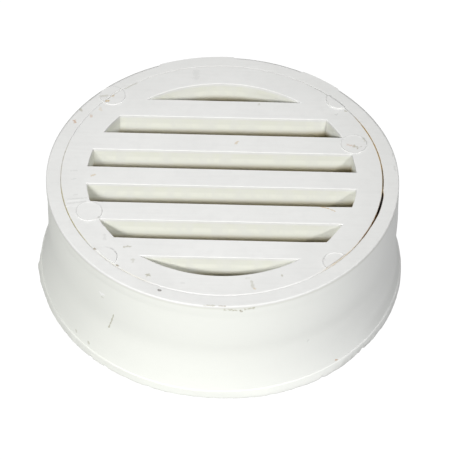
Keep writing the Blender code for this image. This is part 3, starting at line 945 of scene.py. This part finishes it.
def mark_outline(center, radius, inside_r=None, outside_r=None):
    """A circle about center, cut off where it leaves the inside or outside of one about Z."""
    reach = hypot(*center)
    edge = inside_r or outside_r
    meet = acos((edge ** 2 - reach ** 2 - radius ** 2) / (2 * reach * radius)) if edge else 0.0
    start, end = (meet, 2 * pi - meet) if inside_r or not edge else (-meet, meet)
    points = []
    for i in range(MARK_STEPS + 1):
        angle = start + (end - start) * i / MARK_STEPS
        points.append((reach + radius * cos(angle), radius * sin(angle)))
    if edge:
        swing = atan2(points[0][1], points[0][0])
        for i in range(1, MARK_CUT_STEPS):
            angle = swing * (2 * i / MARK_CUT_STEPS - 1)
            points.append((edge * cos(angle), edge * sin(angle)))
    else:
        points.pop()
    c, s = center[0] / reach, center[1] / reach
    return [(x * c - y * s, x * s + y * c) for x, y in points]


def add_mark(bm, center, height=MARK_H, middle=0.6, inside_r=None, outside_r=None):
    """A low round pad with a raised edge, rooted under the face. Its faces point outwards."""
    levels = [
        (MARK_R + MARK_SLOPE, HEIGHT - MARK_ROOT),
        (MARK_R + MARK_SLOPE, HEIGHT + MARK_LIFT),
        (MARK_R, HEIGHT + height),
        (MARK_R - 2 * MARK_SLOPE, HEIGHT + middle * height),
    ]
    rings = []
    for radius, z in levels:
        outline = mark_outline(center, radius, inside_r, outside_r)
        rings.append([bm.verts.new((x, y, z)) for x, y in outline])
    count = len(rings[0])
    for lower, upper in zip(rings, rings[1:]):
        for i in range(count):
            k = (i + 1) % count
            bm.faces.new((lower[i], lower[k], upper[k], upper[i]))
    bm.faces.new(rings[0][::-1])
    bm.faces.new(rings[-1])


def make_grille():
    bm = bmesh.new()
    lathe(bm, grille_profile(), TURN_STEPS, place_grille, ring_closed=False)
    grille = object_from_bmesh("grille_moulding", bm, grille_material())
    lugs = bmesh.new()
    add_round_bars(lugs, LUG_R, LUG_BOTTOM_Z, PLATE_BOTTOM_Z + OVERSHOOT)
    cut_or_join(grille, helper(lugs), "UNION")
    slots = bmesh.new()
    for outline in slot_outlines():
        add_prism(slots, outline, BAR_BOTTOM_Z - OVERSHOOT, HEIGHT + OVERSHOOT)
    cut_or_join(grille, helper(slots), "DIFFERENCE")
    round_slot_edges(grille)
    cores = bmesh.new()
    half = BAR_W / 2 - SLOT_WALL
    for center in bar_centers():
        outline = strip_in_circle(center - half, center + half, SLOT_FIELD_R)
        add_prism(cores, outline, BAR_BOTTOM_Z - OVERSHOOT, PLATE_BOTTOM_Z)
    cut_or_join(grille, helper(cores), "DIFFERENCE")
    marks = bmesh.new()
    for center in FULL_MARKS:
        add_mark(marks, center)
    for center, height, middle, gap in SEAM_MARKS:
        add_mark(marks, center, height, middle, inside_r=SEAM_R - gap)
    cut_or_join(grille, helper(marks, turn_out=False), "UNION")
    smooth(grille)
    grille.location = PLATE_SHIFT
    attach(grille, "insert")
    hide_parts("grille")


# ---------------------------------------------------------------- woven screen
def add_wire(bm, offset, along_x, over_first):
    """One crimped wire of the weave. It passes over and under the wires that cross it."""
    reach = (CLAMPED_R - WIRE_END_GAP) ** 2 - offset ** 2
    if reach <= 0:
        return
    half = reach ** 0.5
    middle_z = (screen_low.z + screen_high.z) / 2
    count = int(2 * half / WIRE_PITCH * WIRE_STEPS)
    rings = []
    for i in range(count + 1):
        t = -half + 2 * half * i / count
        phase = cos(pi * t / WIRE_PITCH) * (1 if over_first else -1)
        ring = []
        for k in range(WIRE_SIDES):
            angle = 2 * pi * k / WIRE_SIDES
            side = offset + WIRE_R * cos(angle)
            z = middle_z + WIRE_R * phase + WIRE_R * sin(angle)
            ring.append(bm.verts.new((t, side, z) if along_x else (side, t, z)))
        rings.append(ring)
    for a, b in zip(rings, rings[1:]):
        for k in range(WIRE_SIDES):
            m = (k + 1) % WIRE_SIDES
            bm.faces.new((a[k], a[m], b[m], b[k]))
    bm.faces.new(rings[0])
    bm.faces.new(rings[-1])


def make_screen():
    bm = bmesh.new()
    reach = int(CLAMPED_R / WIRE_PITCH)
    for i in range(-reach, reach + 1):
        add_wire(bm, i * WIRE_PITCH, True, i % 2 == 0)
        add_wire(bm, i * WIRE_PITCH, False, i % 2 != 0)
    screen = object_from_bmesh("woven_screen", bm, wire_material())
    smooth(screen, 60)
    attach(screen, "insert")
    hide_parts("insect_screen")


def make_retaining_ring():
    bore_r = ring_high.x - RING_W
    corner = RING_CORNER
    profile = [(ring_high.x, ring_high.z)]
    profile += arc(ring_high.x - corner, ring_low.z + corner, corner, 0, -90, 4)
    profile += arc(bore_r + corner, ring_low.z + corner, corner, -90, -180, 4)
    corner = RING_TOP_CORNER
    profile += arc(bore_r + corner, ring_high.z - corner, corner, 180, 90, 2)
    bm = bmesh.new()
    lathe(bm, profile, TURN_STEPS)
    ring = object_from_bmesh("push_in_ring", bm, ring_material())
    smooth(ring)
    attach(ring, "insert")
    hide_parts("retaining_ring")


# ---------------------------------------------------------------- floor, lights and camera
FLOOR_SIZE = 12.0
FLOOR_DROP = 0.05 * MM      # keeps the floor clear of the foot
FLOOR_DARK_R = FOOT_R - 1.5 * MM
FLOOR_SHOWN = 1.0           # how bright the table looks
FLOOR_BOUNCE = 0.46         # how much light it throws up at the housing
WORLD_GLOW = 0.02
CAMERA_DISTANCE = 1.2       # to the centre of the face
CAMERA_ELEVATION = radians(45.2)
CAMERA_AZIMUTH = radians(-0.19)
CAMERA_ROLL = radians(1.294)
CAMERA_LENS = 302.87        # in millimetres, as is the sensor
CAMERA_SENSOR = 36.0
CAMERA_AIM = Vector((2.84 * MM, -11.63 * MM, 27.10 * MM))
# Name, azimuth, elevation, distance, size, brightness.
SOFTBOXES = [
    ("key_left", -20, 36, 1.2, 0.14, 0.40),
    ("side_left", -35, 36, 1.1, 0.13, 0.36),
    ("low_left", -50, 30, 1.0, 0.12, 0.10),
    ("key_right", 42, 36, 1.8, 0.20, 0.475),
    ("back", 180, 62, 1.3, 0.5, 0.275),
]


def make_floor():
    """A pale, evenly lit table. It is dark under the housing, and clear when seen from below."""
    bm = bmesh.new()
    bmesh.ops.create_grid(bm, x_segments=8, y_segments=8, size=FLOOR_SIZE / 2)
    floor = object_from_bmesh("floor", bm)
    floor.location.z = housing_low.z - FLOOR_DROP
    graph = Graph("pale_floor")
    floor.data.materials.append(graph.material)
    graph.shader.inputs["Base Color"].default_value = rgb(0.04, 0.04, 0.04)
    graph.shader.inputs["Roughness"].default_value = 0.9
    graph.shader.inputs["Emission Color"].default_value = rgb(1.0, 1.0, 1.0)
    lit = graph.math("GREATER_THAN", graph.radius(), FLOOR_DARK_R)
    shown = graph.add("ShaderNodeLightPath").outputs["Is Camera Ray"]
    glow = graph.ramp(shown, 0.0, 1.0, FLOOR_BOUNCE, FLOOR_SHOWN)
    graph.put(graph.shader.inputs["Emission Strength"], graph.math("MULTIPLY", lit, glow))
    back = graph.add("ShaderNodeNewGeometry").outputs["Backfacing"]
    mixer = graph.add("ShaderNodeMixShader")
    clear = graph.add("ShaderNodeBsdfTransparent")
    output = graph.tree.nodes["Material Output"]
    graph.put(mixer.inputs[0], back)
    graph.put(mixer.inputs[1], graph.shader.outputs[0])
    graph.put(mixer.inputs[2], clear.outputs[0])
    graph.put(output.inputs["Surface"], mixer.outputs[0])


def add_softbox(name, azimuth, elevation, distance, size, brightness):
    """A square light that lights a facing white surface to brightness times its colour."""
    light = bpy.data.lights.new(name, "AREA")
    light.shape = "SQUARE"
    light.size = size
    light.energy = brightness * pi ** 2 * distance ** 2
    obj = bpy.data.objects.new(name, light)
    bpy.context.scene.collection.objects.link(obj)
    a, e = radians(azimuth), radians(elevation)
    direction = Vector((sin(a) * cos(e), -cos(a) * cos(e), sin(e)))
    target = Vector((0.0, 0.0, HEIGHT))
    obj.location = target + direction * distance
    obj.rotation_euler = direction.to_track_quat("Z", "Y").to_euler()


def make_lights():
    world = bpy.data.worlds.new("studio")
    world.use_nodes = True
    background = world.node_tree.nodes["Background"]
    background.inputs["Color"].default_value = rgb(0.97, 0.98, 1.0)
    background.inputs["Strength"].default_value = WORLD_GLOW
    bpy.context.scene.world = world
    for softbox in SOFTBOXES:
        add_softbox(*softbox)


def make_camera():
    """A camera on an arm from the face's centre, aimed a little to the side and rolled."""
    data = bpy.data.cameras.new("camera")
    data.lens = CAMERA_LENS
    data.sensor_width = CAMERA_SENSOR
    data.clip_start = 0.05
    data.clip_end = 50.0
    camera = bpy.data.objects.new("camera", data)
    bpy.context.scene.collection.objects.link(camera)
    back = Vector((
        -sin(CAMERA_AZIMUTH) * cos(CAMERA_ELEVATION),
        -cos(CAMERA_AZIMUTH) * cos(CAMERA_ELEVATION),
        sin(CAMERA_ELEVATION),
    ))
    location = Vector((0.0, 0.0, HEIGHT)) + back * CAMERA_DISTANCE
    forward = (CAMERA_AIM - location).normalized()
    right = forward.cross(Vector((0.0, 0.0, 1.0))).normalized()
    up = right.cross(forward)
    tilted_right = right * cos(CAMERA_ROLL) + up * sin(CAMERA_ROLL)
    tilted_up = up * cos(CAMERA_ROLL) - right * sin(CAMERA_ROLL)
    axes = Matrix((tilted_right, tilted_up, -forward)).transposed()
    camera.matrix_world = Matrix.Translation(location) @ axes.to_4x4()
    bpy.context.scene.camera = camera


def main():
    bpy.context.scene.view_settings.view_transform = "Standard"
    make_camera()
    make_lights()
    make_floor()
    make_housing()
    make_grille()
    make_screen()
    make_retaining_ring()


main()
